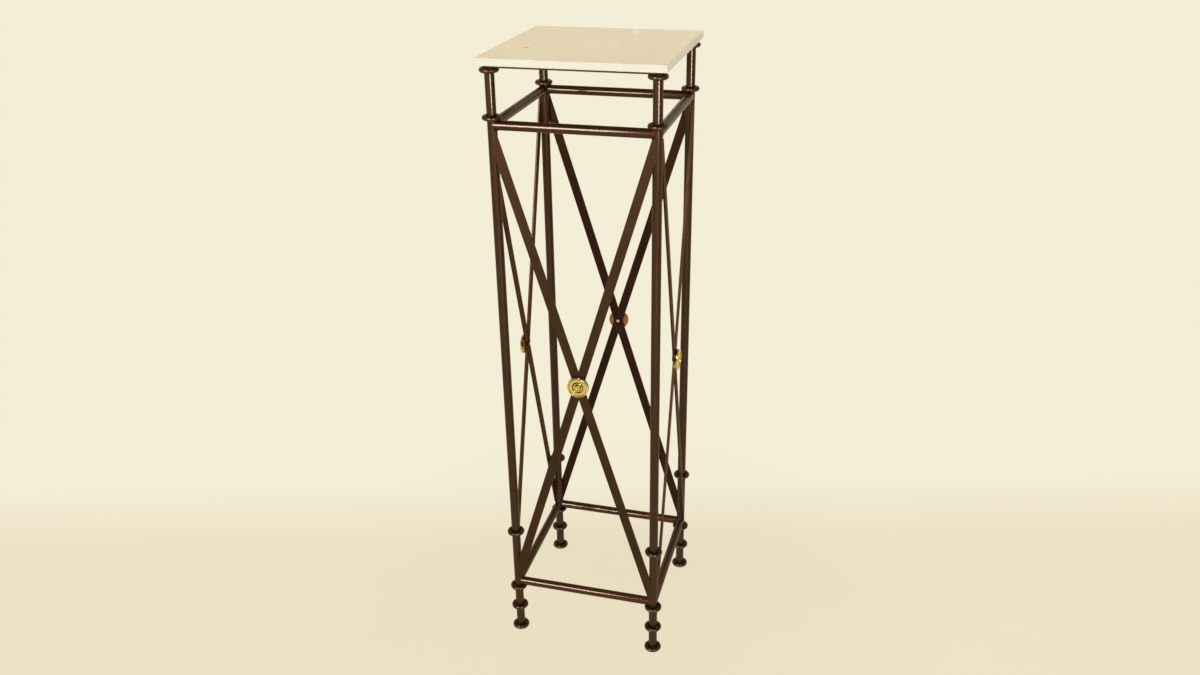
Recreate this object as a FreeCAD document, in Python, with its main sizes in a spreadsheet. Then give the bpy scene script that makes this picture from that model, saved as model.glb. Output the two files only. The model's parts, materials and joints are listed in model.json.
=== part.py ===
import FreeCAD, Part
import math
import os

import Sketcher
from FreeCAD import Rotation, Vector

# Torchere stand: a welded frame of round iron bar with a loose marble top.
# Millimetres, Z up, origin on the floor under the middle of the stand.

SIZES = {
    "frame_width": 270,       # between the axes of neighbouring legs
    "bar_dia": 16,            # the round bar of the legs and rails
    "leg_length": 1108,
    "ring_section": 8,        # height and breadth of every ring's section
    "ring_bevel": 2.3,
    "ring_fit": 0.1,          # ring bore to leg, on the radius
    "weld_gap": 0.2,          # root gap left between welded pieces
    "foot_to_ankle": 49.2,    # between ring centres, going up the leg
    "ankle_to_lower": 47.6,
    "lower_to_knee": 128.5,
    "upper_to_cap": 75.2,
    "brace_width": 16,
    "brace_thickness": 3,
    "brace_setback": 11,      # from a rail's axis to where a brace's centre line meets the leg's axis
    "top_bar_width": 20,
    "top_bar_thickness": 3,
    "bumper_dia": 12,
    "bumper_height": 1.5,
    "bumper_inset": 2,        # from the top frame's outer edge to a bumper's edge
    "top_thickness": 12.5,
    "top_overhang": 1.4,      # marble beyond the cap rings
    "top_bevel": 0.8,
    "rosette_dia": 38,
    "rosette_height": 8,
    "rim_width": 3.2,
    "rim_bevel": 1.2,
    "band_height": 6.2,       # flat band inside the rim, above the rosette's back
    "dish_height": 3.4,       # foot of the dish above the rosette's back
    "dish_width": 2.2,        # from the band down to the bead
    "bead_width": 2.8,
    "bead_height": 5.7,
    "bead_bevel": 0.8,
    "groove_width": 1.1,      # between the bead and the button
    "button_dia": 9.4,
    "button_height": 8.5,
    "button_bevel": 1.6,
    "dimple_depth": 0.8,
    "screw_dia": 5,
    "screw_fit": 0.2,         # screw to its hole in the brace and to its thread, on the radius
    "screw_reach": 4.2,       # thread inside the rosette
    "thread_runout": 0.6,
    "screw_head_dia": 10,
    "screw_head_height": 2.8,
    "screw_head_flat": 4.5,
    "foot_pad_dia": 22,
    "foot_pad_height": 2,
}

# Places worked out from the sizes, above the floor or from the stand's axis.
HALF_WIDTH = "sizes.frame_width / 2"
LEG_FOOT = "sizes.foot_pad_height"
LEG_TOP = f"({LEG_FOOT} + sizes.leg_length)"
FOOT_RING = f"({LEG_FOOT} + sizes.ring_section / 2)"
ANKLE_RING = f"({FOOT_RING} + sizes.foot_to_ankle)"
LOWER_RING = f"({ANKLE_RING} + sizes.ankle_to_lower)"
KNEE_RING = f"({LOWER_RING} + sizes.lower_to_knee)"
CAP_RING = f"({LEG_TOP} - sizes.ring_section / 2)"
UPPER_RING = f"({CAP_RING} - sizes.upper_to_cap)"
RING_TO_RAIL = "(sizes.ring_section / 2 + sizes.weld_gap + sizes.bar_dia / 2)"
LOWER_RAIL = f"({LOWER_RING} + {RING_TO_RAIL})"
UPPER_RAIL = f"({UPPER_RING} - {RING_TO_RAIL})"
CROSSING = f"(({UPPER_RAIL} + {LOWER_RAIL}) / 2)"
RING_BORE = "(sizes.bar_dia / 2 + sizes.ring_fit)"
SADDLE = "(sizes.bar_dia / 2 + sizes.weld_gap)"
OUTER_FACE = f"({HALF_WIDTH} + sizes.bar_dia / 2)"
BRACE_BACK = f"({OUTER_FACE} - sizes.brace_thickness)"
TOP_FRAME_TOP = f"({LEG_TOP} + sizes.top_bar_thickness)"
BUMPER = f"({OUTER_FACE} - sizes.bumper_inset - sizes.bumper_dia / 2)"

SIDES = {"front": 0, "right": 90, "back": 180, "left": 270}
CORNERS = {
    "front_left": (-1, -1),
    "front_right": (1, -1),
    "back_right": (1, 1),
    "back_left": (-1, 1),
}

doc = FreeCAD.newDocument("torchere_stand")
nodes = {}


def fill_sheet():
    sheet = doc.addObject("Spreadsheet::Sheet", "sizes")
    for row, (name, size) in enumerate(SIZES.items(), start=1):
        sheet.set(f"A{row}", name)
        sheet.set(f"B{row}", str(size))
        sheet.setAlias(f"B{row}", name)
    doc.recompute()


def new_body(label, solids=1):
    body = doc.addObject("PartDesign::Body", label)
    body.Label = label
    body.AllowCompound = solids > 1
    nodes[label] = (body, solids)
    return body


def new_sketch(body, role, origin=("0", "0", "0")):
    """A sketch on one of the body's own planes, its origin moved by three expressions."""
    sketch = body.newObject("Sketcher::SketchObject", "outline")
    plane = next(f for f in body.Origin.OriginFeatures if f.Role == role)
    sketch.AttachmentSupport = [(plane, "")]
    sketch.MapMode = "FlatFace"
    for axis, place in zip("xyz", origin):
        sketch.setExpression(f"AttachmentOffset.Base.{axis}", place)
    return sketch


def hold_point(sketch, geometry, point, place):
    """Dimension one point from the sketch's origin, or put it on an axis where its distance is 0."""
    for kind, axis, distance in (("DistanceX", -2, place[0]), ("DistanceY", -1, place[1])):
        if distance == "0":
            sketch.addConstraint(Sketcher.Constraint("PointOnObject", geometry, point, axis))
            continue
        number = sketch.addConstraint(Sketcher.Constraint(kind, -1, 1, geometry, point, 1.0))
        sketch.setExpression(f"Constraints[{number}]", distance)


def add_outline(sketch, corners):
    """A closed outline of straight lines. Each corner is a pair of expressions."""
    count = len(corners)
    first = sketch.GeometryCount
    turn = 2 * math.pi / count
    rough = [Vector(math.cos(i * turn), math.sin(i * turn), 0) for i in range(count)]
    for i in range(count):
        sketch.addGeometry(Part.LineSegment(rough[i], rough[(i + 1) % count]))
    for i in range(count):
        following = first + (i + 1) % count
        sketch.addConstraint(Sketcher.Constraint("Coincident", first + i, 2, following, 1))
    for i, place in enumerate(corners):
        hold_point(sketch, first + i, 1, place)


def add_circle(sketch, place, radius):
    number = sketch.addGeometry(Part.Circle(Vector(1, 1, 0), Vector(0, 0, 1), 1))
    hold_point(sketch, number, 3, place)
    held = sketch.addConstraint(Sketcher.Constraint("Radius", number, 1.0))
    sketch.setExpression(f"Constraints[{held}]", radius)


def pad(body, sketch, length, both_ways=False):
    feature = body.newObject("PartDesign::Pad", "pad")
    feature.Profile = sketch
    feature.Midplane = both_ways
    feature.setExpression("Length", length)
    sketch.Visibility = False
    return feature


def pocket_upwards(body, sketch):
    """Cut through everything above a sketch on the floor plane."""
    feature = body.newObject("PartDesign::Pocket", "cut")
    feature.Profile = sketch
    feature.Type = "ThroughAll"
    feature.Reversed = True
    sketch.Visibility = False
    return feature


def revolve(body, sketch, axis):
    feature = body.newObject("PartDesign::Revolution", "turned")
    feature.Profile = sketch
    feature.ReferenceAxis = (sketch, [axis])
    feature.Angle = 360
    sketch.Visibility = False
    return feature


def four_around(body, feature):
    """Repeat a feature on the four sides or corners of the stand."""
    body.Tip = feature
    pattern = body.newObject("PartDesign::PolarPattern", "four_around")
    upright = next(f for f in body.Origin.OriginFeatures if f.Role == "Z_Axis")
    pattern.Originals = [feature]
    pattern.Axis = (upright, [""])
    pattern.Angle = 360
    pattern.Occurrences = 4
    body.Tip = pattern


def put_on_corner(body, corner, height):
    across, deep = CORNERS[corner]
    body.setExpression("Placement.Base.x", f"{across} * {HALF_WIDTH}")
    body.setExpression("Placement.Base.y", f"{deep} * {HALF_WIDTH}")
    body.setExpression("Placement.Base.z", height)


def turn_to_side(body, side):
    body.Placement.Rotation = Rotation(Vector(0, 0, 1), SIDES[side])


def make_leg(corner):
    """Round bar, sawn square at both ends."""
    body = new_body(f"leg_{corner}")
    sketch = new_sketch(body, "XY_Plane")
    add_circle(sketch, ("0", "0"), "sizes.bar_dia / 2")
    pad(body, sketch, "sizes.leg_length")
    put_on_corner(body, corner, LEG_FOOT)


def make_ring(name, corner, height):
    """Ring with a rounded-off rim, drawn with bevels, slid over the leg."""
    body = new_body(f"{name}_{corner}")
    sketch = new_sketch(body, "XZ_Plane")
    rim = f"{RING_BORE} + sizes.ring_section"
    half = "sizes.ring_section / 2"
    add_outline(sketch, [
        (RING_BORE, f"-{half}"),
        (f"{rim} - sizes.ring_bevel", f"-{half}"),
        (rim, f"-({half} - sizes.ring_bevel)"),
        (rim, f"{half} - sizes.ring_bevel"),
        (f"{rim} - sizes.ring_bevel", half),
        (RING_BORE, half),
    ])
    revolve(body, sketch, "V_Axis")
    put_on_corner(body, corner, height)


def make_rail(name, side, height):
    """Round bar between two legs: ends saddle-cut to the legs and mitred against the next rails."""
    body = new_body(f"{name}_{side}")
    bar = new_sketch(body, "YZ_Plane", (f"-{HALF_WIDTH}", height, "0"))
    add_circle(bar, ("0", "0"), "sizes.bar_dia / 2")
    pad(body, bar, "sizes.frame_width", both_ways=True)
    legs = new_sketch(body, "XY_Plane", ("0", f"-{HALF_WIDTH}", "0"))
    for hand in ("-1", "1"):
        add_circle(legs, (f"{hand} * {HALF_WIDTH}", "0"), SADDLE)
    pocket_upwards(body, legs)
    mitre = new_sketch(body, "XY_Plane", ("0", f"-{HALF_WIDTH}", "0"))
    for hand in ("-1", "1"):
        end = f"{hand} * {HALF_WIDTH}"
        add_outline(mitre, [
            (end, "0"),
            (end, "sizes.bar_dia"),
            (f"{hand} * ({HALF_WIDTH} - sizes.bar_dia)", "sizes.bar_dia"),
        ])
    body.Tip = pocket_upwards(body, mitre)
    turn_to_side(body, side)


# A brace's outline is drawn from the crossing of its X. The centre line rises by RISE to the leg's axis.
# An edge lies EDGE_ACROSS beside the centre line, and PANEL_TOP is the end left free by the rail.
RISE = f"(({UPPER_RAIL} - {LOWER_RAIL}) / 2 - sizes.brace_setback)"
PANEL_TOP = f"(({UPPER_RAIL} - {LOWER_RAIL}) / 2 - sizes.bar_dia / 2 - sizes.weld_gap)"
SLANT = f"(sqrt(pow({HALF_WIDTH}; 2) + pow({RISE}; 2)) / {RISE})"
EDGE_ACROSS = f"(sizes.brace_width / 2 * {SLANT})"
GAP_ACROSS = f"(sizes.weld_gap / 2 * {SLANT})"
STEEPNESS = f"({RISE} / ({HALF_WIDTH}))"
LONG_EDGE_END = f"({PANEL_TOP} / {STEEPNESS} - {EDGE_ACROSS})"
SHORT_EDGE_END = f"({RISE} - {EDGE_ACROSS} * {STEEPNESS})"


def brace_end(hand, way):
    """Three corners of a brace's end: hand is the leg's side, way is up or down."""
    return [
        (f"{hand} * {LONG_EDGE_END}", f"{way} * {PANEL_TOP}"),
        (f"{hand} * {HALF_WIDTH}", f"{way} * {PANEL_TOP}"),
        (f"{hand} * {HALF_WIDTH}", f"{way} * {SHORT_EDGE_END}"),
    ]


def make_brace(label, side, corners, hands, drilled):
    """Flat bar, flush with the legs' outer faces, its ends cut to fit round the legs."""
    body = new_body(label)
    bar = new_sketch(body, "XZ_Plane", ("0", CROSSING, BRACE_BACK))
    add_outline(bar, corners)
    if drilled:
        add_circle(bar, ("0", "0"), "sizes.screw_dia / 2 + sizes.screw_fit")
    pad(body, bar, "sizes.brace_thickness")
    legs = new_sketch(body, "XY_Plane", ("0", f"-{HALF_WIDTH}", "0"))
    for hand in hands:
        add_circle(legs, (f"{hand} * {HALF_WIDTH}", "0"), SADDLE)
    body.Tip = pocket_upwards(body, legs)
    turn_to_side(body, side)


def make_cross(side):
    """One unbroken bar rising to the right, and two halves that butt against its edges."""
    through = brace_end(1, 1) + brace_end(-1, -1)
    make_brace(f"brace_through_{side}", side, through, (-1, 1), drilled=True)
    for name, way in (("upper", 1), ("lower", -1)):
        butt = [
            (f"{-way} * ({EDGE_ACROSS} + {GAP_ACROSS})", f"{way} * {GAP_ACROSS} * {STEEPNESS}"),
            (f"{-way} * {GAP_ACROSS}", f"{way} * ({EDGE_ACROSS} + {GAP_ACROSS}) * {STEEPNESS}"),
        ]
        half = brace_end(-way, way) + butt
        make_brace(f"brace_half_{name}_{side}", side, half, (-way,), drilled=False)


def make_rosette(side):
    """Turned brass boss: rim, flat band, dish, bead and button, tapped from the back for its screw."""
    body = new_body(f"rosette_{side}")
    sketch = new_sketch(body, "XZ_Plane")
    tapped = "sizes.screw_dia / 2 + sizes.screw_fit"
    tapped_depth = "sizes.screw_reach + sizes.thread_runout"
    rim = "sizes.rosette_dia / 2"
    bead_inside = "sizes.button_dia / 2 + sizes.groove_width"
    bead = f"{bead_inside} + sizes.bead_width"
    dimple = "sizes.button_dia / 2 - sizes.button_bevel"
    add_outline(sketch, [
        ("0", tapped_depth),
        (tapped, tapped_depth),
        (tapped, "0"),
        (rim, "0"),
        (rim, "sizes.rosette_height - sizes.rim_bevel"),
        (f"{rim} - sizes.rim_bevel", "sizes.rosette_height"),
        (f"{rim} - sizes.rim_width", "sizes.band_height"),
        (f"{bead} + sizes.dish_width", "sizes.band_height"),
        (bead, "sizes.dish_height"),
        (f"{bead} - sizes.bead_bevel", "sizes.bead_height"),
        (bead_inside, "sizes.bead_height"),
        ("sizes.button_dia / 2", "sizes.dish_height"),
        ("sizes.button_dia / 2", "sizes.button_height - sizes.button_bevel"),
        (dimple, "sizes.button_height"),
        ("0", "sizes.button_height - sizes.dimple_depth"),
    ])
    revolve(body, sketch, "V_Axis")
    turn = math.radians(SIDES[side])
    body.Placement.Rotation = Rotation(Vector(0, 0, 1), SIDES[side]) * Rotation(Vector(1, 0, 0), 90)
    body.setExpression("Placement.Base.x", f"{round(math.sin(turn))} * {OUTER_FACE}")
    body.setExpression("Placement.Base.y", f"{-round(math.cos(turn))} * {OUTER_FACE}")
    body.setExpression("Placement.Base.z", CROSSING)


def make_rosette_screws():
    """Domed screws, put through the braces from inside the stand."""
    body = new_body("rosette_screws", solids=4)
    sketch = new_sketch(body, "YZ_Plane", (f"-{BRACE_BACK}", CROSSING, "0"))
    tip = "-(sizes.brace_thickness + sizes.screw_reach)"
    add_outline(sketch, [
        (tip, "0"),
        (tip, "sizes.screw_dia / 2"),
        ("0", "sizes.screw_dia / 2"),
        ("0", "sizes.screw_head_dia / 2"),
        ("sizes.screw_head_height", "sizes.screw_head_flat / 2"),
        ("sizes.screw_head_height", "0"),
    ])
    four_around(body, revolve(body, sketch, "H_Axis"))


def make_foot_pads():
    """Felt discs under the legs: the stand rests on them."""
    body = new_body("foot_pads", solids=4)
    sketch = new_sketch(body, "XY_Plane")
    add_circle(sketch, (f"-{HALF_WIDTH}", f"-{HALF_WIDTH}"), "sizes.foot_pad_dia / 2")
    four_around(body, pad(body, sketch, "sizes.foot_pad_height"))


def make_top_bumpers():
    """Soft dots over the legs that keep the marble off the iron."""
    body = new_body("top_bumpers", solids=4)
    sketch = new_sketch(body, "XY_Plane", ("0", "0", TOP_FRAME_TOP))
    add_circle(sketch, (f"-{BUMPER}", f"-{BUMPER}"), "sizes.bumper_dia / 2")
    four_around(body, pad(body, sketch, "sizes.bumper_height"))


def make_top_bar(side):
    """Thin flat bar, mitred at both ends, one side of the square frame under the marble."""
    body = new_body(f"top_bar_{side}")
    sketch = new_sketch(body, "XY_Plane", ("0", "0", LEG_TOP))
    inner = f"({OUTER_FACE} - sizes.top_bar_width)"
    add_outline(sketch, [
        (f"-{OUTER_FACE}", f"-{OUTER_FACE}"),
        (OUTER_FACE, f"-{OUTER_FACE}"),
        (inner, f"-{inner}"),
        (f"-{inner}", f"-{inner}"),
    ])
    pad(body, sketch, "sizes.top_bar_thickness")
    turn_to_side(body, side)


def make_marble_top():
    """Square tile with eased edges, lying loose on the bumpers."""
    body = new_body("marble_top")
    under = f"{TOP_FRAME_TOP} + sizes.bumper_height"
    sketch = new_sketch(body, "XY_Plane", ("0", "0", under))
    half = f"({HALF_WIDTH} + {RING_BORE} + sizes.ring_section + sizes.top_overhang)"
    add_outline(sketch, [
        (f"-{half}", f"-{half}"),
        (half, f"-{half}"),
        (half, half),
        (f"-{half}", half),
    ])
    slab = pad(body, sketch, "sizes.top_thickness")
    doc.recompute()
    eased = body.newObject("PartDesign::Chamfer", "eased_edges")
    eased.Base = (slab, [f"Edge{i + 1}" for i in range(len(slab.Shape.Edges))])
    eased.setExpression("Size", "sizes.top_bevel")
    body.Tip = eased


def check_model():
    """Stop before anything is written if a feature failed or a piece is not the solid it should be."""
    for item in doc.Objects:
        if "Invalid" in item.State or "Error" in item.State:
            raise RuntimeError(f"{item.Label} did not compute")
    for label, (body, solids) in nodes.items():
        shape = body.Shape
        if shape.isNull() or not shape.isValid() or len(shape.Solids) != solids:
            raise RuntimeError(f"{label} is not {solids} valid solid(s)")


fill_sheet()
rings = {
    "foot_ring": FOOT_RING,
    "ankle_ring": ANKLE_RING,
    "lower_ring": LOWER_RING,
    "knee_ring": KNEE_RING,
    "upper_ring": UPPER_RING,
    "cap_ring": CAP_RING,
}
for corner in CORNERS:
    make_leg(corner)
    for ring, height in rings.items():
        make_ring(ring, corner, height)
for side in SIDES:
    make_rail("lower_rail", side, LOWER_RAIL)
    make_rail("upper_rail", side, UPPER_RAIL)
    make_cross(side)
    make_rosette(side)
    make_top_bar(side)
make_rosette_screws()
make_foot_pads()
make_top_bumpers()
make_marble_top()
doc.recompute()
check_model()
os.makedirs("parts", exist_ok=True)
for label, (body, solids) in nodes.items():
    body.Shape.exportStep(f"parts/{label}.step")
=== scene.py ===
import json
import math

import bmesh
import bpy
from mathutils import Matrix, Vector, noise

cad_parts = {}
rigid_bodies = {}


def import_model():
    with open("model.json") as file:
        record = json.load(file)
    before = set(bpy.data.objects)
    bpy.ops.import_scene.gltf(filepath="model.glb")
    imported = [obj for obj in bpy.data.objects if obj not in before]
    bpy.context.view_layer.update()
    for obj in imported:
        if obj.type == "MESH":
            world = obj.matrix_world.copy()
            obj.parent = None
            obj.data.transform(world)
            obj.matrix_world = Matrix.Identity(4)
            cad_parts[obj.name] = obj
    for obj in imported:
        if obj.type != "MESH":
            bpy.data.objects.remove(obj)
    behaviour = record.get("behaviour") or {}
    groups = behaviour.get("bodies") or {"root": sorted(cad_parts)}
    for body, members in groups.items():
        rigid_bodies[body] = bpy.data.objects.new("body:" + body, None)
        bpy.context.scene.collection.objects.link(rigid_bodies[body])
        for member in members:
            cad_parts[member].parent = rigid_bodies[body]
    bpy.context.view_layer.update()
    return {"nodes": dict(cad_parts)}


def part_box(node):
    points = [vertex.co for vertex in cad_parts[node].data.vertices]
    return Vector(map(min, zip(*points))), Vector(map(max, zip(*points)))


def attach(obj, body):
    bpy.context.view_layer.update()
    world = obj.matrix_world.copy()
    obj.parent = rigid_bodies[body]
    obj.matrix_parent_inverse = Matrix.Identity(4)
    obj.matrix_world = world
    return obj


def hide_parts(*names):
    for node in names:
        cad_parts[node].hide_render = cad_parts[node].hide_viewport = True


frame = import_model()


# Legs: four straight lengths of round iron bar, cut square, that stand upright at the corners.
# The welded frame is sprayed with a bronze-brown enamel, which dries with a faint ripple, and the round bars
# and the rings are lacquered over it. It is painted paler low down: painted light. The bars keep their
# modelled shape.
CORNERS = ("front_left", "front_right", "back_right", "back_left")
# Two shades of the enamel, and how much lacquer lies over it.
GLOSSY = ((0.0345, 0.0144, 0.0051), (0.0387, 0.0164, 0.0058), 0.42)
WORN_BROWN = (0.15, 0.08, 0.042)
DUST_SPECK = (0.11, 0.062, 0.035)
# Painted light: the paler tone mixed into the enamel low down, its most, and the heights it runs between.
LOW_PAINTED_LIGHT = (0.105, 0.05, 0.023)
MOST_LOW_LIGHT = 0.13
PALEST_BELOW = 0.1
PLAIN_PAINT_ABOVE = 0.62
leg_low, leg_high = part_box("leg_front_left")
bar_radius = (leg_high.x - leg_low.x) / 2
leg_offset = -(leg_high.x + leg_low.x) / 2


def add_node(material, kind, inputs=None, **settings):
    """Adds a node, and sets or joins its inputs."""
    node = material.node_tree.nodes.new(kind)
    for key, value in settings.items():
        setattr(node, key, value)
    for socket, value in (inputs or {}).items():
        if isinstance(value, bpy.types.NodeSocket):
            material.node_tree.links.new(value, node.inputs[socket])
        else:
            node.inputs[socket].default_value = value
    return node


def finish_with(material, name):
    """Gives a CAD piece its finish."""
    piece = frame["nodes"][name]
    piece.data.materials.clear()
    piece.data.materials.append(material)


def shade_between(material, amount, low, high):
    """A colour that runs from low to high as amount goes over its middle."""
    ramp = add_node(material, "ShaderNodeValToRGB", {"Fac": amount})
    ramp.color_ramp.elements[0].position = 0.34
    ramp.color_ramp.elements[0].color = (*low, 1)
    ramp.color_ramp.elements[1].position = 0.66
    ramp.color_ramp.elements[1].color = (*high, 1)
    return ramp.outputs["Color"]


def spread(material, amount, low, high, start=0.3, end=0.7):
    """A number that runs from low to high as amount goes from start to end."""
    return add_node(material, "ShaderNodeMapRange", {
        "Value": amount, "From Min": start, "From Max": end, "To Min": low, "To Max": high,
    }).outputs["Result"]


def new_finish(name):
    """A new material with the point on the piece, and its shader."""
    material = bpy.data.materials.new(name)
    material.use_nodes = True
    point = add_node(material, "ShaderNodeTexCoord").outputs["Object"]
    return material, point, material.node_tree.nodes["Principled BSDF"]


def put(material, shader, socket, source):
    """Joins a source to an input of the shader."""
    material.node_tree.links.new(source, shader.inputs[socket])


def maths(material, operation, *values, **settings):
    """A number worked out from one or more others."""
    inputs = dict(enumerate(values))
    return add_node(material, "ShaderNodeMath", inputs, operation=operation, **settings).outputs[0]


def mixed(material, amount, one, other):
    """A colour that goes from one to the other as amount goes from nought to one."""
    one, other = (
        colour if isinstance(colour, bpy.types.NodeSocket) else (*colour, 1) for colour in (one, other)
    )
    return add_node(material, "ShaderNodeMix", {
        "Factor": amount, "A": one, "B": other,
    }, data_type="RGBA").outputs["Result"]


def mottle(material, point, scale, detail, roughness=0.5):
    """A number that drifts to either side of a half from place to place."""
    return add_node(material, "ShaderNodeTexNoise", {
        "Vector": point, "Scale": scale, "Detail": detail, "Roughness": roughness,
    }).outputs["Fac"]


def brown_enamel(name, coats, rubbed=None, under=WORN_BROWN, lumps=0.008):
    """The frame's enamel, in the two shades and with the lacquer that coats gives.

    rubbed gives, from the material and the point, how far it is rubbed through to the colour under it, and
    lumps is how uneven the iron is.
    """
    low, high, lacquer = coats
    paint, point, shader = new_finish(name)
    clouds = mottle(paint, point, scale=26, detail=5, roughness=0.6)
    specks = spread(paint, mottle(paint, point, scale=420, detail=2), 0, 0.3, 0.64, 0.76)
    height = add_node(paint, "ShaderNodeSeparateXYZ", {"Vector": point}).outputs["Z"]
    # Painted light: the colour is made paler towards the bottom.
    painted_low_light = spread(paint, height, MOST_LOW_LIGHT, 0, PALEST_BELOW, PLAIN_PAINT_ABOVE)
    colour = shade_between(paint, clouds, low, high)
    colour = mixed(paint, specks, colour, DUST_SPECK)
    colour = mixed(paint, painted_low_light, colour, LOW_PAINTED_LIGHT)
    if rubbed:
        colour = mixed(paint, rubbed(paint, point), colour, under)
    waves = add_node(paint, "ShaderNodeBump", {
        "Height": mottle(paint, point, scale=170, detail=3), "Strength": lumps, "Distance": 0.0005,
    })
    skin = add_node(paint, "ShaderNodeBump", {
        "Height": mottle(paint, point, scale=900, detail=1), "Strength": 0.01, "Distance": 0.0002,
        "Normal": waves.outputs["Normal"],
    })
    put(paint, shader, "Base Color", colour)
    put(paint, shader, "Roughness", spread(paint, clouds, 0.46, 0.56))
    put(paint, shader, "Normal", skin.outputs["Normal"])
    shader.inputs["Metallic"].default_value = 0.6
    shader.inputs["Specular IOR Level"].default_value = 0
    shader.inputs["Specular Tint"].default_value = (1, 0.6, 0.4, 1)
    shader.inputs["Coat Weight"].default_value = lacquer
    shader.inputs["Coat Roughness"].default_value = 0.1
    return paint


bar_enamel = brown_enamel("bar_enamel", GLOSSY)
for corner in CORNERS:
    finish_with(bar_enamel, f"leg_{corner}")


# Rings: collars of 8 mm round iron, closed and dressed smooth, slid over the legs and tacked to them.
# There are six on each leg. Their rims stand proud, so handling has rubbed them to a lighter brown.
RINGS = ("foot_ring", "ankle_ring", "lower_ring", "knee_ring", "upper_ring", "cap_ring")
RING_TURNS = 72
RING_ROUNDS = 28
RIM_START = 0.0147
RIM_END = 0.0163


def new_piece(name, points, faces, material, slot, body="stand", sharp=None):
    """A new piece from points and faces, shaded smooth up to the sharp angle, that moves with its body."""
    mesh = bpy.data.meshes.new(name)
    mesh.from_pydata(points, [], faces)
    mesh.polygons.foreach_set("use_smooth", [True] * len(mesh.polygons))
    if sharp:
        mesh.set_sharp_from_angle(angle=math.radians(sharp))
    mesh.materials.append(material)
    piece = bpy.data.objects.new(name, mesh)
    bpy.context.scene.collection.objects.link(piece)
    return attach(piece, body)


def rim_of_ring(material, point):
    """Nought at the leg, and up to nearly a half at the rim, whichever leg the point is on."""
    split = add_node(material, "ShaderNodeSeparateXYZ", {"Vector": point})
    squares = []
    for axis in "XY":
        aside = maths(material, "SUBTRACT", maths(material, "ABSOLUTE", split.outputs[axis]), leg_offset)
        squares.append(maths(material, "POWER", aside, 2))
    radius = maths(material, "SQRT", maths(material, "ADD", *squares))
    rim = spread(material, radius, 0, 1, RIM_START, RIM_END)
    patches = mottle(material, point, scale=110, detail=4)
    return maths(material, "MULTIPLY", rim, spread(material, patches, 0.05, 0.45))


def closed_ring(low, high):
    """Points and faces of a round-section ring that fills its box."""
    middle = (low + high) / 2
    section = (high.z - low.z) / 2
    radius = (high.x - low.x) / 2 - section
    points = []
    faces = []
    for turn in range(RING_TURNS):
        angle = math.tau * turn / RING_TURNS
        outward = Vector((math.cos(angle), math.sin(angle), 0))
        for step in range(RING_ROUNDS):
            tilt = math.tau * step / RING_ROUNDS
            reach = outward * (radius + section * math.cos(tilt))
            points.append(middle + reach + Vector((0, 0, section * math.sin(tilt))))
            here = turn * RING_ROUNDS
            there = (turn + 1) % RING_TURNS * RING_ROUNDS
            after = (step + 1) % RING_ROUNDS
            faces.append((here + step, there + step, there + after, here + after))
    return points, faces


ring_enamel = brown_enamel("ring_enamel", GLOSSY, rim_of_ring, lumps=0.3)
for ring in RINGS:
    for corner in CORNERS:
        points, faces = closed_ring(*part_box(f"{ring}_{corner}"))
        piece = new_piece(f"round_{ring}_{corner}", points, faces, ring_enamel, "iron")
        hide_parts(f"{ring}_{corner}")


# Rails: round bar of the same size, its ends saddle-cut to the legs and mitred to the next rail.
# Four stand between the lower and knee rings, and four under the upper rings. Their enamel is a shade redder.
SIDES = ("front", "right", "back", "left")
RUDDY = ((0.0365, 0.015, 0.0055), (0.041, 0.017, 0.0062), 0.46)
rail_enamel = brown_enamel("rail_enamel", RUDDY)
for side in SIDES:
    for rail in ("lower_rail", "upper_rail"):
        finish_with(rail_enamel, f"{rail}_{side}")


# Braces: flat bar, 16 by 3 mm, flush with the outside of the legs. One bar of each cross is in one length,
# and the other is in two halves that butt against it. The rolled edges are a little round, and rubbed.
# Their enamel has hardly any lacquer. On the back cross it is painted darker, as painted shade.
ARRIS = 0.0005
EDGE_REACH = 0.0012
SATIN = ((0.04, 0.0211, 0.0108), (0.0447, 0.0238, 0.0123), 0.06)
# A darker copy of the enamel for the back cross: painted shade.
SHADED_BACK = ((0.0225, 0.0105, 0.0051), (0.025, 0.0118, 0.0058), 0.06)


def rolled_edge(material, point):
    """The edges of a flat bar, where brushing past has thinned the paint."""
    true_face = add_node(material, "ShaderNodeNewGeometry").outputs["Normal"]
    softened = add_node(material, "ShaderNodeBevel", {"Radius": EDGE_REACH}, samples=4).outputs["Normal"]
    alike = add_node(material, "ShaderNodeVectorMath", {0: true_face, 1: softened}, operation="DOT_PRODUCT")
    edge = spread(material, alike.outputs["Value"], 1, 0, 0.72, 0.98)
    patches = mottle(material, point, scale=60, detail=4)
    return maths(material, "MULTIPLY", edge, spread(material, patches, 0.05, 0.6))


def ease_edges(name, size):
    """Takes the sharp arris off a modelled piece."""
    piece = frame["nodes"][name]
    close = piece.modifiers.new("close", "WELD")
    close.merge_threshold = 0.00001
    flats = piece.modifiers.new("flats", "DECIMATE")
    flats.decimate_type = "DISSOLVE"
    flats.angle_limit = math.radians(1)
    arris = piece.modifiers.new("arris", "BEVEL")
    arris.width = size
    arris.segments = 2
    arris.limit_method = "ANGLE"
    arris.angle_limit = math.radians(40)
    arris.harden_normals = False
    lie = piece.modifiers.new("lie", "WEIGHTED_NORMAL")
    lie.keep_sharp = False
    lie.weight = 100


flat_enamel = brown_enamel("flat_enamel", SATIN, rolled_edge)
# The back cross's enamel is painted darker, as painted shade.
shaded_back_enamel = brown_enamel("shaded_back_enamel", SHADED_BACK, rolled_edge)
for side in SIDES:
    for bar in ("brace_through", "brace_half_upper", "brace_half_lower"):
        finish_with(shaded_back_enamel if side == "back" else flat_enamel, f"{bar}_{side}")
        ease_edges(f"{bar}_{side}", ARRIS)


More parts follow.
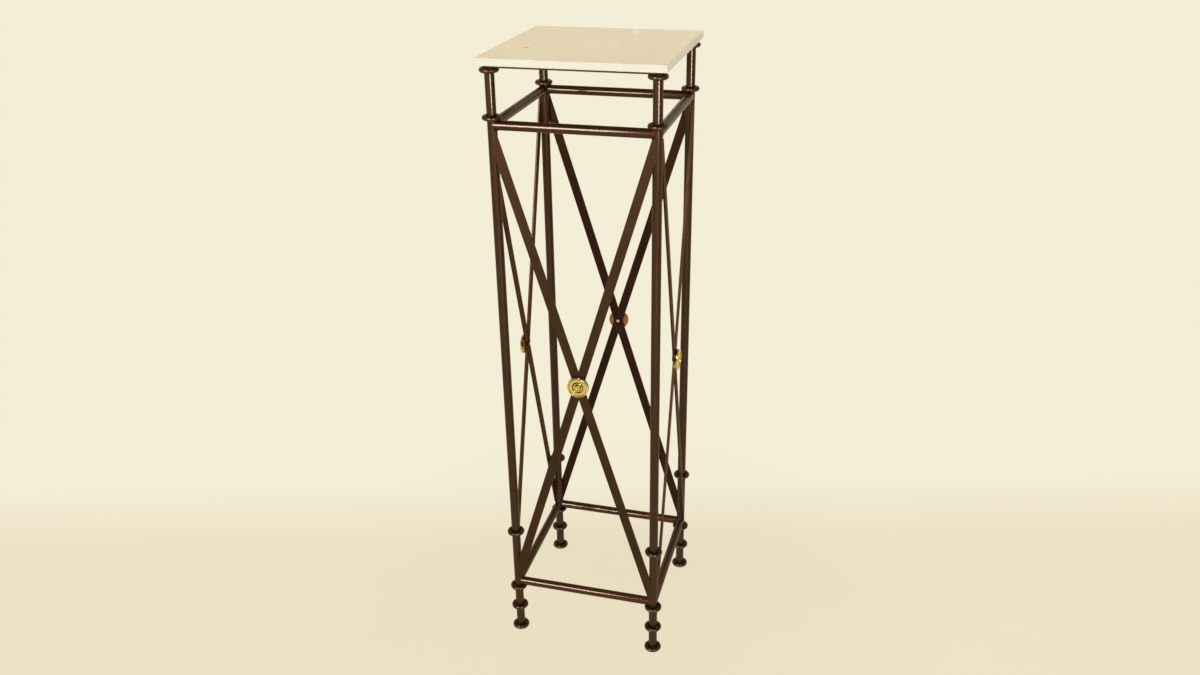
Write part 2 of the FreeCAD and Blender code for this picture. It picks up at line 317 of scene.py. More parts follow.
# Top frame: four flat iron bars, mitred at the corners and welded flat on the legs' ends.
# It is painted with the rest of the frame, and carries the marble, which hides most of it.
for side in SIDES:
    finish_with(flat_enamel, f"top_bar_{side}")
    ease_edges(f"top_bar_{side}", ARRIS)


# Rosettes: bosses turned from brass rod and polished, one on the outside of each crossing.
# A raised rim stands round a dished face with a bead and a dimpled button. Each is tapped for its screw.
ROSETTE_TURNS = 96
ROUNDING_STEPS = 4
ROSETTE_CORNERS = [
    # Distance from the axis, height above the back and rounding, in millimetres, from the tapped hole out.
    (0, 4.6, 0), (2.6, 4.6, 0), (2.6, 0, 0), (19, 0, 0.75),
    # The foot, and the groove above it.
    (19, 2.45, 0.55), (18.05, 2.45, 0.25), (18.05, 3.45, 0.25),
    # The round rim, and the fine groove inside it.
    (19, 3.45, 0.65), (19, 7.97, 2), (15.95, 7.97, 1.05), (15.95, 5.72, 0.2), (15.35, 5.72, 0.2),
    # The flat band, and the dish.
    (15.3, 6.47, 0.3), (10.55, 5.85, 0.6), (9.75, 3.05, 0.6), (8.6, 3.05, 0.4),
    # The bead.
    (8.6, 5.77, 1.4), (5.65, 5.77, 1.4), (5.55, 3.42, 0.25),
    # The button, and its dimple.
    (4.8, 3.42, 0.25), (4.75, 8.5, 1.7), (2, 8.5, 0.6), (1, 7.62, 0.6), (0, 7.62, 0),
]
BRASS_DEEP = (0.76, 0.61, 0.19)
BRASS_PALE = (0.86, 0.73, 0.29)
# Tarnish in the hollows, made darker towards the top of the dish as painted shade.
TARNISH_AND_SHADE = (0.07, 0.028, 0.009)
# A rosy tone on the low edge of the rim: painted reflection.
ROSY_PAINTED_REFLECTION = (0.56, 0.36, 0.27)
UNPOLISHED = (0.4, 0.19, 0.075)
FINE_GROOVE = 0.01565
DISH_FLOOR = 0.0033
DISH_TOP = 0.0056
TURNING_LINES = 9000
brace_low, brace_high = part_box("brace_through_front")
crossing_height = (brace_low.z + brace_high.z) / 2


def rounded(corners):
    """The outline through the corners, with an arc in place of each corner that has a rounding."""
    outline = []
    for index, (across, height, radius) in enumerate(corners):
        if not radius:
            outline.append((across, height))
            continue
        corner = Vector((across, height))
        back = (Vector(corners[index - 1][:2]) - corner).normalized()
        onward = (Vector(corners[index + 1][:2]) - corner).normalized()
        half = back.angle(onward) / 2
        centre = corner + (back + onward).normalized() * (radius / math.sin(half))
        first = corner + back * (radius / math.tan(half)) - centre
        last = corner + onward * (radius / math.tan(half)) - centre
        sweep = math.pi - 2 * half
        for step in range(ROUNDING_STEPS + 1):
            angle = sweep * step / ROUNDING_STEPS
            arm = (first * math.sin(sweep - angle) + last * math.sin(angle)) / math.sin(sweep)
            outline.append(tuple(centre + arm))
    return outline


def turned(corners, turns):
    """Points and faces of a piece turned about Z from its corners, which start and end on the axis."""
    outline = rounded(corners)
    points = []
    faces = []
    for radius, height in outline:
        if radius == 0:
            points.append(Vector((0, 0, height / 1000)))
            continue
        for turn in range(turns):
            angle = math.tau * turn / turns
            points.append(Vector((radius * math.cos(angle), radius * math.sin(angle), height)) / 1000)
    start = 1
    for turn in range(turns):
        faces.append((0, start + (turn + 1) % turns, start + turn))
    for row in range(len(outline) - 3):
        for turn in range(turns):
            after = (turn + 1) % turns
            low = 1 + row * turns
            high = low + turns
            faces.append((low + turn, low + after, high + after, high + turn))
    last = 1 + (len(outline) - 3) * turns
    for turn in range(turns):
        faces.append((len(points) - 1, last + turn, last + (turn + 1) % turns))
    return points, faces


def polished_brass():
    """Brass with fine turning lines, tarnished where the polishing cloth misses, with painted shade darkening
    the dish towards the top, and a painted rosy reflection low down.
    """
    brass, point, shader = new_finish("polished_brass")
    split = add_node(brass, "ShaderNodeSeparateXYZ", {"Vector": point})
    depth = split.outputs["Z"]
    height = split.outputs["Y"]
    flat = add_node(brass, "ShaderNodeCombineXYZ", {"X": split.outputs["X"], "Y": height}).outputs[0]
    radius = add_node(brass, "ShaderNodeVectorMath", {0: flat}, operation="LENGTH").outputs["Value"]
    clouds = mottle(brass, point, scale=190, detail=5)
    off_groove = maths(brass, "ABSOLUTE", maths(brass, "SUBTRACT", radius, FINE_GROOVE))
    in_groove = spread(brass, off_groove, 1, 0, 0.0001, 0.0005)
    hollow = maths(brass, "MAXIMUM", spread(brass, depth, 1, 0, DISH_FLOOR, DISH_TOP), in_groove)
    # Painted shade: the tarnish grows heavier towards the top, under the rim.
    painted_shade_up = spread(brass, height, 0.25, 1.25, -0.006, 0.004)
    cloudy = maths(brass, "MULTIPLY", painted_shade_up, spread(brass, clouds, 0.6, 0.95))
    tarnish_and_shade = maths(brass, "MULTIPLY", hollow, cloudy, use_clamp=True)
    # Painted reflection: the low edge of the rim is tinted rosy.
    low_down = spread(brass, height, 0.8, 0, -0.0155, -0.0105)
    painted_rosy_edge = maths(brass, "MULTIPLY", low_down, spread(brass, radius, 0, 1, 0.0158, 0.0168))
    behind = spread(brass, depth, 1, 0, 0.0002, 0.0008)
    colour = shade_between(brass, clouds, BRASS_DEEP, BRASS_PALE)
    for amount, tone in ((tarnish_and_shade, TARNISH_AND_SHADE), (painted_rosy_edge, ROSY_PAINTED_REFLECTION), (behind, UNPOLISHED)):
        colour = mixed(brass, amount, colour, tone)
    gloss = maths(brass, "ADD", spread(brass, clouds, 0.11, 0.18), spread(brass, tarnish_and_shade, 0, 0.2, 0, 1))
    lines = add_node(brass, "ShaderNodeBump", {
        "Height": maths(brass, "SINE", maths(brass, "MULTIPLY", radius, TURNING_LINES)),
        "Strength": 0.03, "Distance": 0.0001,
    })
    put(brass, shader, "Base Color", colour)
    put(brass, shader, "Roughness", gloss)
    put(brass, shader, "Normal", lines.outputs["Normal"])
    shader.inputs["Metallic"].default_value = 1
    return brass


brass = polished_brass()
points, faces = turned(ROSETTE_CORNERS, ROSETTE_TURNS)
outside = Matrix.Translation((0, brace_low.y, crossing_height)) @ Matrix.Rotation(math.radians(90), 4, "X")
for turn, side in enumerate(SIDES):
    piece = new_piece(f"turned_rosette_{side}", points, faces, brass, "brass", sharp=50)
    piece.matrix_world = Matrix.Rotation(math.radians(90 * turn), 4, "Z") @ outside
    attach(piece, "stand")
    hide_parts(f"rosette_{side}")


# Rosette screws: round-head machine screws with a slot, put in from inside the stand and painted with it.
# Each goes through the bar that runs right across, into the rosette.
SCREW_TURNS = 64
SCREW_CORNERS = [
    # Distance from the axis, height above the bar's inside and rounding, in millimetres, from the tip up.
    (0, -7.1, 0), (2, -7.1, 0), (2.45, -6.6, 0), (2.45, 0.02, 0), (5, 0.02, 0.3), (5, 2.45, 1.9), (0, 2.8, 0),
]
HEAD_TOP = 0.0028
SLOT_WIDTH = 0.0012
SLOT_DEPTH = 0.0012
SAW_LENGTH = 0.012
FIRST_SLOT_TURN = 0.5
NEXT_SLOT_TURN = 1.1
BARE_STEEL = (0.6, 0.48, 0.42)
BARE_WITHIN = 0.002
PAINTED_BEYOND = 0.0034


def slotted_screw():
    """Points and faces of a screw with a slot sawn across its head."""
    points, faces = turned(SCREW_CORNERS, SCREW_TURNS)
    blank = bpy.data.meshes.new("blank")
    blank.from_pydata(points, [], faces)
    screw = bpy.data.objects.new("blank", blank)
    saw_form = bmesh.new()
    bmesh.ops.create_cube(saw_form, size=1, matrix=Matrix.LocRotScale(
        Vector((0, 0, HEAD_TOP)), None, Vector((SLOT_WIDTH, SAW_LENGTH, 2 * SLOT_DEPTH))))
    saw_mesh = bpy.data.meshes.new("saw")
    saw_form.to_mesh(saw_mesh)
    saw_form.free()
    saw = bpy.data.objects.new("saw", saw_mesh)
    for made in (screw, saw):
        bpy.context.scene.collection.objects.link(made)
    cut = screw.modifiers.new("slot", "BOOLEAN")
    cut.operation = "DIFFERENCE"
    cut.object = saw
    bpy.context.view_layer.update()
    done = bpy.data.meshes.new_from_object(screw.evaluated_get(bpy.context.evaluated_depsgraph_get()))
    points = [vertex.co.copy() for vertex in done.vertices]
    faces = [tuple(face.vertices) for face in done.polygons]
    for made in (screw, saw):
        bpy.data.objects.remove(made)
    return points, faces


def crown_of_screw(material, point):
    """One on the crown of each head, where the driver has bared the steel, and nought round it."""
    split = add_node(material, "ShaderNodeSeparateXYZ", {"Vector": point})
    aside = maths(material, "MINIMUM", *(maths(material, "ABSOLUTE", split.outputs[axis]) for axis in "XY"))
    above = maths(material, "SUBTRACT", split.outputs["Z"], crossing_height)
    off_axis = add_node(material, "ShaderNodeCombineXYZ", {"X": aside, "Z": above}).outputs[0]
    away = add_node(material, "ShaderNodeVectorMath", {0: off_axis}, operation="LENGTH").outputs["Value"]
    return spread(material, away, 1, 0, BARE_WITHIN, PAINTED_BEYOND)


one_screw, screw_faces = slotted_screw()
points = []
faces = []
inside = Matrix.Translation((0, brace_high.y, crossing_height)) @ Matrix.Rotation(math.radians(-90), 4, "X")
for turn in range(len(SIDES)):
    onto_side = Matrix.Rotation(math.radians(90 * turn), 4, "Z")
    place = onto_side @ inside @ Matrix.Rotation(FIRST_SLOT_TURN + NEXT_SLOT_TURN * turn, 4, "Z")
    faces += [tuple(len(points) + corner for corner in face) for face in screw_faces]
    points += [place @ point for point in one_screw]
screw_enamel = brown_enamel("screw_enamel", SATIN, crown_of_screw, BARE_STEEL)
screws = new_piece("slotted_rosette_screws", points, faces, screw_enamel, "screw_iron", sharp=40)
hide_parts("rosette_screws")


# Rail welds: the rails are fillet-welded round their saddle-cut ends, and brushed before painting.
# The bead is fullest in the corners, and nearly flush on the outside, where it is filed to the bars.
RAIL_BEAD = 0.0017
FILED_SHARE = 0.3
RAIL_END_STEPS = 132
BEAD_SIDES = 10
RIPPLE = 0.0024
RIPPLE_SHARE = 0.1
LUMP_SHARE = 0.22
LUMPS_PER_METRE = 260
# A direction that no bead runs along.
ASKEW = Vector((0.31, 0.22, 0.93))


def weld_bead(path, widths, closed=False):
    """Points and faces of a lumpy bead along a path, as wide at each point as widths says."""
    points = []
    faces = []
    length = 0
    count = len(path)
    for index, middle in enumerate(path):
        before = path[index - 1] if index or closed else middle
        after = path[(index + 1) % count] if index < count - 1 or closed else middle
        along = (after - before).normalized()
        length += (middle - path[index - 1]).length if index else 0
        across = along.cross(ASKEW).normalized()
        up = along.cross(across)
        ripple = RIPPLE_SHARE * math.cos(math.tau * length / RIPPLE)
        lump = LUMP_SHARE * noise.noise(middle * LUMPS_PER_METRE)
        reach = widths[index] * (1 + ripple + lump)
        for step in range(BEAD_SIDES):
            angle = math.tau * step / BEAD_SIDES
            points.append(middle + (across * math.cos(angle) + up * math.sin(angle)) * reach)
    for index in range(count if closed else count - 1):
        for step in range(BEAD_SIDES):
            low = index * BEAD_SIDES
            high = (index + 1) % count * BEAD_SIDES
            after = (step + 1) % BEAD_SIDES
            faces.append((low + step, low + after, high + after, high + step))
    if not closed:
        faces.append(tuple(reversed(range(BEAD_SIDES))))
        faces.append(tuple(range((count - 1) * BEAD_SIDES, count * BEAD_SIDES)))
    return points, faces


def gather(made, points, faces):
    """Adds the points and faces of one more form to those already made."""
    made[1].extend(tuple(len(made[0]) + corner for corner in face) for face in faces)
    made[0].extend(points)


def rail_end_path(way, height, mitred):
    """The line where a front rail's end meets its leg, and the next rail where mitred, and the bead's widths.

    way is -1 for the left end and 1 for the right one.
    """
    path = []
    widths = []
    for step in range(RAIL_END_STEPS):
        angle = math.tau * step / RAIL_END_STEPS
        aside = bar_radius * math.sin(angle)
        above = bar_radius * math.cos(angle)
        if not mitred and aside > abs(above):
            continue
        along = max(abs(above), aside)
        path.append(Vector((way * (leg_offset - along), aside - leg_offset, height + above)))
        fullness = FILED_SHARE + (1 - FILED_SHARE) * abs(math.cos(angle)) if aside < 0 else 1
        widths.append(RAIL_BEAD * fullness)
    if not mitred:
        # The path is cut at the gap that the next rail leaves, and starts after it.
        gap = 2 * bar_radius / 5
        cut = next(i for i in range(len(path) - 1) if (path[i + 1] - path[i]).length > gap)
        path = path[cut + 1:] + path[:cut + 1]
        widths = widths[cut + 1:] + widths[:cut + 1]
    return path, widths


rail_welds = ([], [])
for turn, side in enumerate(SIDES):
    onto_side = Matrix.Rotation(math.radians(90 * turn), 4, "Z")
    for rail in ("lower_rail", "upper_rail"):
        rail_low, rail_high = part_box(f"{rail}_{side}")
        for way in (-1, 1):
            # The bead on each mitre is made once, with the front or back rail.
            mitred = turn % 2 == 0
            path, widths = rail_end_path(way, (rail_low.z + rail_high.z) / 2, mitred)
            gather(rail_welds, *weld_bead([onto_side @ point for point in path], widths, closed=mitred))
weld_enamel = brown_enamel("weld_enamel", SATIN, lumps=0.3)
new_piece("rail_welds", *rail_welds, weld_enamel, "iron")


# Brace welds: the flat bars are welded to the legs inside, where the bead shows, and to the rails.
# On the outside the seam is filed almost flush. The halves are welded to the unbroken bar behind.
BRACE_BEAD = 0.0015
SEAM = 0.0007
BAR_WIDTH = 0.016
BEAD_STEP = 0.0006
FEWEST_STEPS = 4
TAPER_START = 0.35
TAPER_STEPS = 5
CORNER_GAP = 0.001
PAST_EDGE = 1.03
rise = (brace_high.z - brace_low.z) / 2
slope = math.atan2(rise, leg_offset)


def straight_path(start, end, width):
    """A straight bead with tapering ends."""
    count = max(FEWEST_STEPS, int((end - start).length / BEAD_STEP))
    path = [start.lerp(end, step / (count - 1)) for step in range(count)]
    from_ends = [min(step, count - 1 - step) for step in range(count)]
    widths = [width * min(1, TAPER_START + steps / TAPER_STEPS) for steps in from_ends]
    return path, widths


brace_welds = ([], [])
outer_half = BAR_WIDTH / 2 / math.sin(slope)
inside_bead = leg_offset - math.sqrt(bar_radius ** 2 - (leg_offset + brace_high.y) ** 2)
for turn in range(len(SIDES)):
    onto_side = Matrix.Rotation(math.radians(90 * turn), 4, "Z")
    for way in (-1, 1):
        for up in (-1, 1):
            for across, depth, width in (
                (inside_bead, brace_high.y, BRACE_BEAD), (brace_high.x, brace_low.y + SEAM / 2, SEAM),
            ):
                nearest = (across - outer_half) * math.tan(slope)
                start = Vector((way * across, depth, crossing_height + up * nearest))
                end = Vector((way * across, depth, crossing_height + up * rise))
                path, widths = straight_path(start, end, width)
                gather(brace_welds, *weld_bead([onto_side @ point for point in path], widths))
            corner = rise / math.tan(slope) - outer_half
            start = Vector((way * inside_bead, brace_high.y, crossing_height + up * rise))
            end = Vector((way * (corner + CORNER_GAP), brace_high.y, crossing_height + up * rise))
            path, widths = straight_path(start, end, BRACE_BEAD)
            gather(brace_welds, *weld_bead([onto_side @ point for point in path], widths))
    for way in (-1, 1):
        edge = Vector((-math.sin(slope), 0, math.cos(slope))) * (way * BAR_WIDTH / 2)
        along = Vector((math.cos(slope), 0, math.sin(slope))) * (way * BAR_WIDTH / 2 / math.sin(2 * slope))
        butt = edge - along * math.cos(2 * slope) + Vector((0, 0, crossing_height))
        for depth, width in ((brace_high.y, BRACE_BEAD), (brace_low.y + SEAM / 2, SEAM)):
            across_bar = Vector((0, depth, 0))
            start = butt - along + across_bar
            end = butt + along * PAST_EDGE + across_bar
            path, widths = straight_path(start, end, width)
            gather(brace_welds, *weld_bead([onto_side @ point for point in path], widths))
new_piece("brace_welds", *brace_welds, weld_enamel, "iron")


# Ring tacks: three short weld beads hold each ring to its leg, and are painted with the frame.
# They lie under the ring, or over it where the ring is at the foot.
TACK_BEAD = 0.0012
TACKS = 3
TACK_STEPS = 9
TACK_STEP_ANGLE = 0.065
TACK_END = 0.7
NEXT_LEG_ANGLE = 0.7
TACK_DEPTH = 0.62
OFF_THE_LEG = 0.0004
ring_tacks = ([], [])
for ring in RINGS:
    for place, corner in enumerate(CORNERS):
        low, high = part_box(f"{ring}_{corner}")
        middle = (low + high) / 2
        groove = (high.z - low.z) / 2 * TACK_DEPTH
        level = middle.z + (groove if ring == "foot_ring" else -groove)
        for tack in range(TACKS):
            start = NEXT_LEG_ANGLE * place + math.tau * tack / TACKS
            path = []
            widths = []
            for step in range(TACK_STEPS):
                angle = start + TACK_STEP_ANGLE * step
                outward = Vector((math.cos(angle), math.sin(angle), 0))
                path.append(outward * (bar_radius + OFF_THE_LEG) + Vector((middle.x, middle.y, level)))
                swell = math.pi * (step + TACK_END) / (TACK_STEPS - 1 + 2 * TACK_END)
                widths.append(TACK_BEAD * math.sin(swell))
            gather(ring_tacks, *weld_bead(path, widths))
new_piece("ring_tacks", *ring_tacks, weld_enamel, "iron")


# Foot pads: discs punched from brown wool felt with a gum back.
# One is pressed on under each leg, to spare the floor.
PAD_TURNS = 48
# Distance from the axis, height above the floor and rounding, in millimetres.
PAD_CORNERS = [(0, 0, 0), (11, 0, 0.6), (11, 2, 0.7), (0, 2, 0)]
FELT_DARK = (0.05, 0.037, 0.027)
FELT_PALE = (0.13, 0.1, 0.075)


def felt_finish():
    """Brown wool felt, with a short uneven nap."""
    felt, point, shader = new_finish("brown_felt")
    nap = mottle(felt, point, scale=1500, detail=4)
    rough = add_node(felt, "ShaderNodeBump", {"Height": nap, "Strength": 0.8, "Distance": 0.0006})
    put(felt, shader, "Base Color", shade_between(felt, nap, FELT_DARK, FELT_PALE))
    put(felt, shader, "Normal", rough.outputs["Normal"])
    put(felt, shader, "Roughness", spread(felt, nap, 0.9, 1))
    shader.inputs["Sheen Weight"].default_value = 0.3
    return felt


one_pad, pad_faces = turned(PAD_CORNERS, PAD_TURNS)
pads = ([], [])
for across in (-1, 1):
    for back in (-1, 1):
        place = Vector((across * leg_offset, back * leg_offset, 0))
        gather(pads, [point + place for point in one_pad], pad_faces)
felt_pads = new_piece("felt_foot_pads", *pads, felt_finish(), "felt", sharp=50)
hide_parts("foot_pads")


# Top bumpers: low domes of clear soft plastic with a sticky back, a little clouded.
# One is stuck on each corner of the top frame, to keep the marble from sliding.
DOT_DARK = (0.55, 0.54, 0.5)
DOT_PALE = (0.72, 0.71, 0.67)
# In millimetres.
DOT_RADIUS = 6


def soft_dot_finish():
    """Clear soft plastic, slightly clouded."""
    clear, point, shader = new_finish("clear_dots")
    cloud = mottle(clear, point, scale=300, detail=3)
    put(clear, shader, "Base Color", shade_between(clear, cloud, DOT_DARK, DOT_PALE))
    put(clear, shader, "Roughness", spread(clear, cloud, 0.15, 0.3))
    shader.inputs["Transmission Weight"].default_value = 0.5
    return clear


dot_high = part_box("top_bumpers")[1]
frame_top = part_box("top_bar_front")[1].z
dot_height = (dot_high.z - frame_top) * 1000
# Distance from the axis, height above the frame and rounding, in millimetres.
dot_corners = [(0, 0, 0), (DOT_RADIUS, 0, 0.15), (5.7, 1.3, 0.9), (0, dot_height, 0)]
one_dot, dot_faces = turned(dot_corners, PAD_TURNS)
dots = ([], [])
dot_offset = dot_high.x - DOT_RADIUS / 1000
for across in (-1, 1):
    for back in (-1, 1):
        place = Vector((across * dot_offset, back * dot_offset, frame_top))
        gather(dots, [point + place for point in one_dot], dot_faces)
soft_dots = new_piece("soft_top_dots", *dots, soft_dot_finish(), "soft_dots", sharp=60)
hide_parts("top_bumpers")


# Marble top: one square tile of cream marble, sawn and polished, its edges eased by hand. It lies loose.
# Faint veins run across it from corner to corner, with a pale patch at the back and a small pit at the left.
MARBLE_EASE = 0.0013
MARBLE_DEEP = (0.79, 0.72, 0.59)
MARBLE_PALE = (0.84, 0.775, 0.65)
VEIN = (0.63, 0.52, 0.365)
GLINT = (0.93, 0.88, 0.78)
PALE_PATCH = (0.92, 0.87, 0.8)
PIT = (0.3, 0.22, 0.12)
# The edges' pale tone is their honed finish, and partly painted light.
HONED_AND_LIT_EDGE = (0.9, 0.87, 0.79)
marble_low, marble_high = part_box("marble_top")


def streak(material, point, middle, along, length, width):
    """One along a soft-edged streak in the face of the tile, and nought away from it."""
    turn = math.atan2(along[1], along[0])
    aside = add_node(material, "ShaderNodeVectorMath", {
        0: point, 1: (*middle, marble_high.z),
    }, operation="SUBTRACT").outputs[0]
    turned_to = add_node(material, "ShaderNodeVectorRotate", {
        "Vector": aside, "Angle": -turn,
    }, rotation_type="Z_AXIS").outputs[0]
    drawn_in = add_node(material, "ShaderNodeVectorMath", {
        0: turned_to, 1: (1 / length, 1 / width, 1 / width),
    }, operation="MULTIPLY").outputs[0]
    away = add_node(material, "ShaderNodeVectorMath", {0: drawn_in}, operation="LENGTH").outputs["Value"]
    return spread(material, away, 1, 0, 0.25, 1)


def cream_marble():
    """Cream marble, polished on the face and honed on the edges, which are also painted paler, partly as
    painted light.

    It has clouds, faint veins, fine crystals, a pale streak and a pit.
    """
    stone, point, shader = new_finish("cream_marble")
    drift = add_node(stone, "ShaderNodeTexNoise", {
        "Vector": point, "Scale": 6, "Detail": 4, "Roughness": 0.55,
    }).outputs["Color"]
    bent = add_node(stone, "ShaderNodeVectorMath", {
        0: drift, 1: (0.1, 0.1, 0.1), 2: point,
    }, operation="MULTIPLY_ADD").outputs[0]
    clouds = mottle(stone, bent, scale=9, detail=5)
    slant = add_node(stone, "ShaderNodeMapping", {
        "Vector": bent, "Rotation": (0, 0, 0.95), "Scale": (1, 0.16, 1),
    }).outputs[0]
    bands = mottle(stone, slant, scale=26, detail=2)
    off_line = maths(stone, "ABSOLUTE", maths(stone, "SUBTRACT", bands, 0.5))
    line = spread(stone, off_line, 0.22, 0, 0, 0.07)
    veins = maths(stone, "MULTIPLY", line, spread(stone, clouds, 0.2, 1, 0.4, 0.62))
    crystals = add_node(stone, "ShaderNodeTexVoronoi", {"Vector": point, "Scale": 700}).outputs["Distance"]
    glints = spread(stone, crystals, 0.04, 0, 0.1, 0.5)
    normal = add_node(stone, "ShaderNodeNewGeometry").outputs["Normal"]
    facing = add_node(stone, "ShaderNodeSeparateXYZ", {"Vector": normal}).outputs["Z"]
    # The edges are honed, and painted paler, partly as painted light.
    honed_and_lit = spread(stone, maths(stone, "ABSOLUTE", facing), 0.6, 0, 0.3, 0.9)
    pale = streak(stone, point, middle=(0.04, 0.118), along=(0.27, -0.96), length=0.04, width=0.009)
    pit = streak(stone, point, middle=(-0.0985, -0.058), along=(0.8, 0.6), length=0.0065, width=0.0033)
    tones = ((veins, VEIN), (glints, GLINT), (pale, PALE_PATCH), (pit, PIT), (honed_and_lit, HONED_AND_LIT_EDGE))
    colour = shade_between(stone, clouds, MARBLE_DEEP, MARBLE_PALE)
    for amount, tone in tones:
        colour = mixed(stone, amount, colour, tone)
    polish = spread(stone, clouds, 0.2, 0.3)
    sunk = add_node(stone, "ShaderNodeBump", {"Height": pit, "Strength": 0.8, "Distance": 0.001}, invert=True)
    put(stone, shader, "Base Color", colour)
    put(stone, shader, "Roughness", maths(stone, "MULTIPLY_ADD", honed_and_lit, 0.3, polish))
    put(stone, shader, "Normal", sunk.outputs["Normal"])
    return stone


tile_form = bmesh.new()
bmesh.ops.create_cube(tile_form, size=1, matrix=Matrix.LocRotScale(
    (marble_low + marble_high) / 2, None, marble_high - marble_low))
bmesh.ops.bevel(
    tile_form, geom=tile_form.edges[:], offset=MARBLE_EASE, segments=4, profile=0.5, affect="EDGES")
tile_form.verts.ensure_lookup_table()
points = [vertex.co.copy() for vertex in tile_form.verts]
faces = [tuple(vertex.index for vertex in face.verts) for face in tile_form.faces]
tile_form.free()
tile = new_piece("eased_marble_top", points, faces, cream_marble(), "marble", body="top", sharp=35)
lie = tile.modifiers.new("lie", "WEIGHTED_NORMAL")
lie.weight = 100
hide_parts("marble_top")


# Floor: a plain pale sheet of painted board, with no joint in view. The eye sees it evenly lit, with the
# stand's shadow on it.
FLOOR_HALF = 14
FLOOR_COLOUR = (0.836, 0.751, 0.556)
UNEVEN = 1.02
WALL_COLOUR = (0.9, 0.852, 0.672)
TO_THE_BACK = (-0.266, 0.964, 0)
SWEEP_START = 0.2
SWEEP_END = 0.42
FADE_START = 3
FADE_END = 8
EVENLY_LIT = 0.92
SHADOW_START = 0.2
SHADOW_END = 0.7


def pale_floor():
    """Cream paint, a little uneven, and a little paler towards the back and far away."""
    board, point, shader = new_finish("pale_floor")
    paler = tuple(value * UNEVEN for value in FLOOR_COLOUR)
    near = shade_between(board, mottle(board, point, scale=2, detail=3), FLOOR_COLOUR, paler)
    away = add_node(board, "ShaderNodeVectorMath", {
        0: point, 1: TO_THE_BACK,
    }, operation="DOT_PRODUCT").outputs["Value"]
    distance = add_node(board, "ShaderNodeVectorMath", {0: point}, operation="LENGTH").outputs["Value"]
    behind = spread(board, away, 0, 1, SWEEP_START, SWEEP_END)
    back = maths(board, "MAXIMUM", behind, spread(board, distance, 0, 1, FADE_START, FADE_END))
    colour = mixed(board, back, near, WALL_COLOUR)
    even = add_node(board, "ShaderNodeEmission", {"Color": colour, "Strength": 1})
    ray = add_node(board, "ShaderNodeLightPath")
    in_front = spread(board, away, 0.6, 1, -0.75, -0.2)
    mirrored = maths(board, "MULTIPLY", ray.outputs["Is Glossy Ray"], in_front)
    seen = maths(board, "MAXIMUM", ray.outputs["Is Camera Ray"], mirrored)
    lit = spread(board, distance, EVENLY_LIT, 1, SHADOW_START, SHADOW_END)
    share = maths(board, "MULTIPLY", seen, lit)
    both = add_node(board, "ShaderNodeMixShader", {0: share, 1: shader.outputs[0], 2: even.outputs[0]})
    put(board, shader, "Base Color", colour)
    shader.inputs["Roughness"].default_value = 0.8
    shader.inputs["Specular IOR Level"].default_value = 0.1
    put(board, board.node_tree.nodes["Material Output"], "Surface", both.outputs[0])
    return board


floor_mesh = bpy.data.meshes.new("floor")
floor_mesh.from_pydata([
    (-FLOOR_HALF, -FLOOR_HALF, 0), (FLOOR_HALF, -FLOOR_HALF, 0),
    (FLOOR_HALF, FLOOR_HALF, 0), (-FLOOR_HALF, FLOOR_HALF, 0),
], [], [(0, 1, 2, 3)])
floor_mesh.materials.append(pale_floor())
floor = bpy.data.objects.new("floor", floor_mesh)
bpy.context.scene.collection.objects.link(floor)


# Light: soft lamps at the front and over the top, and bright panels that only gloss and polish show.
# The room has a cream wall behind the stand, which shows warmer in the gloss high up, less light in front,
# and a dim ceiling there.
ROOM_FRONT = (0.36, 0.32, 0.26)
ROOM_ABOVE = (0.17, 0.15, 0.12)
ROOM_BACK = (0.8, 0.74, 0.58)
ROOM_HIGH_BACK = (0.62, 0.4, 0.18)


def pieces_with(name, finish):
    """The pieces whose finish has that ending, as a collection that a lamp can be kept to."""
    group = bpy.data.collections.new(name)
    for piece in bpy.data.objects:
        finishes = piece.data.materials if piece.type == "MESH" else ()
        if any(material.name.endswith(finish) for material in finishes if material):
            group.objects.link(piece)
    return group


def soft_lamp(name, place, target, width, height, power, colour, shows_in=None):
    """A flat lamp of that width and height, turned to its target.

    It lights everything, or else it only shows in the gloss of the pieces in shows_in.
    """
    lamp = bpy.data.lights.new(name, "AREA")
    lamp.shape = "RECTANGLE"
    lamp.size = width
    lamp.size_y = height
    lamp.energy = power
    lamp.color = colour
    lit = bpy.data.objects.new(name, lamp)
    lit.location = place
    lit.rotation_euler = (Vector(target) - Vector(place)).to_track_quat("-Z", "Y").to_euler()
    lit.visible_diffuse = shows_in is None
    lit.visible_glossy = shows_in is not None
    lit.light_linking.receiver_collection = shows_in
    bpy.context.scene.collection.objects.link(lit)


painted = pieces_with("painted", "_enamel")
polished = pieces_with("polished", "_brass")
soft_lamp("right_lamp", (0.9, -1.95, 0.4), (0, 0, 0.4), 0.8, 0.8, 24, (0.88, 0.92, 0.95))
soft_lamp("left_lamp", (-1.3, -2.0, 1.4), (0, 0, 0.85), 0.8, 0.5, 21, (0.86, 0.92, 0.97))
soft_lamp("top_lamp", (0.05, 0.1, 2.2), (0, 0, 1.1), 0.7, 0.7, 5.4, (1, 0.86, 0.6))
soft_lamp("right_panel", (1.1, -1.8, 0.72), (0, 0, 0.8), 0.5, 0.32, 34, (1, 0.9, 0.78), painted)
soft_lamp("left_panel", (-0.75, -2.2, 1.5), (0, 0, 0.9), 0.6, 0.9, 81, (1, 0.84, 0.68), painted)
soft_lamp("brass_panel", (0.9, -1.4, 1.85), (0, 0, 0.57), 0.4, 0.4, 12, (1, 0.98, 0.95), polished)
soft_lamp("brass_spot", (-0.15, -1.1, 2.1), (0, -0.15, 0.57), 0.25, 0.25, 4, (1, 0.98, 0.95), polished)
soft_lamp("brass_ceiling", (0.35, -1.3, 2.3), (0, -0.15, 0.57), 1.2, 1.0, 5, (1, 0.98, 0.92), polished)
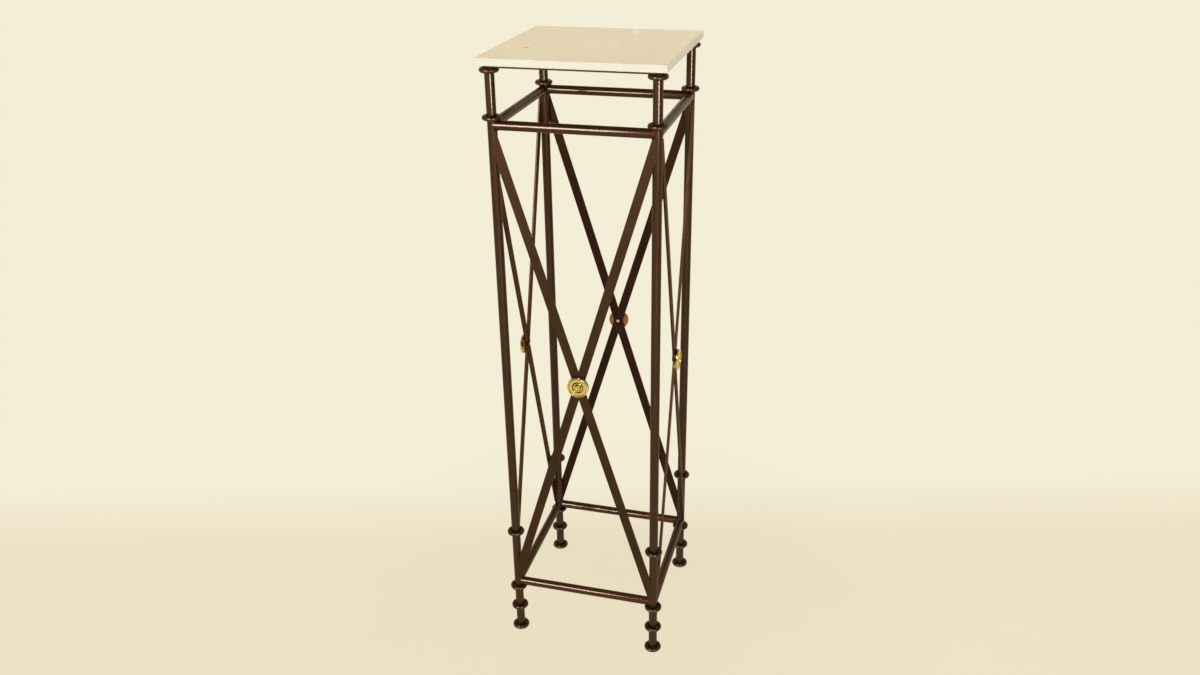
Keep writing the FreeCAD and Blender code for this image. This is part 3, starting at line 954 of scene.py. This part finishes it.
room = bpy.data.worlds.new("room")
room.use_nodes = True
looking = add_node(room, "ShaderNodeTexCoord").outputs["Generated"]
ahead = add_node(room, "ShaderNodeSeparateXYZ", {"Vector": looking})
ray = add_node(room, "ShaderNodeLightPath")
front = mixed(room, spread(room, ahead.outputs["Z"], 0, 1, 0, 0.5), ROOM_FRONT, ROOM_ABOVE)
high_up = spread(room, ahead.outputs["Z"], 0, 1, 0.42, 0.62)
warmer = maths(room, "MULTIPLY", ray.outputs["Is Glossy Ray"], high_up)
back = mixed(room, warmer, ROOM_BACK, ROOM_HIGH_BACK)
around = mixed(room, spread(room, ahead.outputs["Y"], 0, 1, -0.35, 0.35), front, back)
backdrop = mixed(room, ray.outputs["Is Camera Ray"], around, WALL_COLOUR)
put(room, room.node_tree.nodes["Background"], "Color", backdrop)
bpy.context.scene.world = room
bpy.context.scene.view_settings.view_transform = "Standard"


# Camera: where the photograph was taken from, a little above the top, to the right of the front.
# It was fitted to the corners of the marble and to the lines of the legs, rails and rings.
PHOTO_WIDTH = 1200
CAMERA_PLACE = (0.4666, -1.6867, 1.4314)
CAMERA_DOWN = math.radians(25.551)
CAMERA_TURN = math.radians(-15.438)
CAMERA_ROLL = math.radians(-0.8796)
FOCAL_PIXELS = 1047.9
flat = math.cos(CAMERA_DOWN)
forward = Vector((math.sin(CAMERA_TURN) * flat, math.cos(CAMERA_TURN) * flat, -math.sin(CAMERA_DOWN)))
level = Vector((math.cos(CAMERA_TURN), -math.sin(CAMERA_TURN), 0))
upright = level.cross(forward)
right = math.cos(CAMERA_ROLL) * level + math.sin(CAMERA_ROLL) * upright
up = -math.sin(CAMERA_ROLL) * level + math.cos(CAMERA_ROLL) * upright
lens = bpy.data.cameras.new("camera")
lens.sensor_width = 36
lens.lens = FOCAL_PIXELS / PHOTO_WIDTH * lens.sensor_width
lens.clip_end = 100
camera = bpy.data.objects.new("camera", lens)
camera.matrix_world = Matrix((
    (right.x, up.x, -forward.x, CAMERA_PLACE[0]),
    (right.y, up.y, -forward.y, CAMERA_PLACE[1]),
    (right.z, up.z, -forward.z, CAMERA_PLACE[2]),
    (0, 0, 0, 1),
))
bpy.context.scene.collection.objects.link(camera)
bpy.context.scene.camera = camera
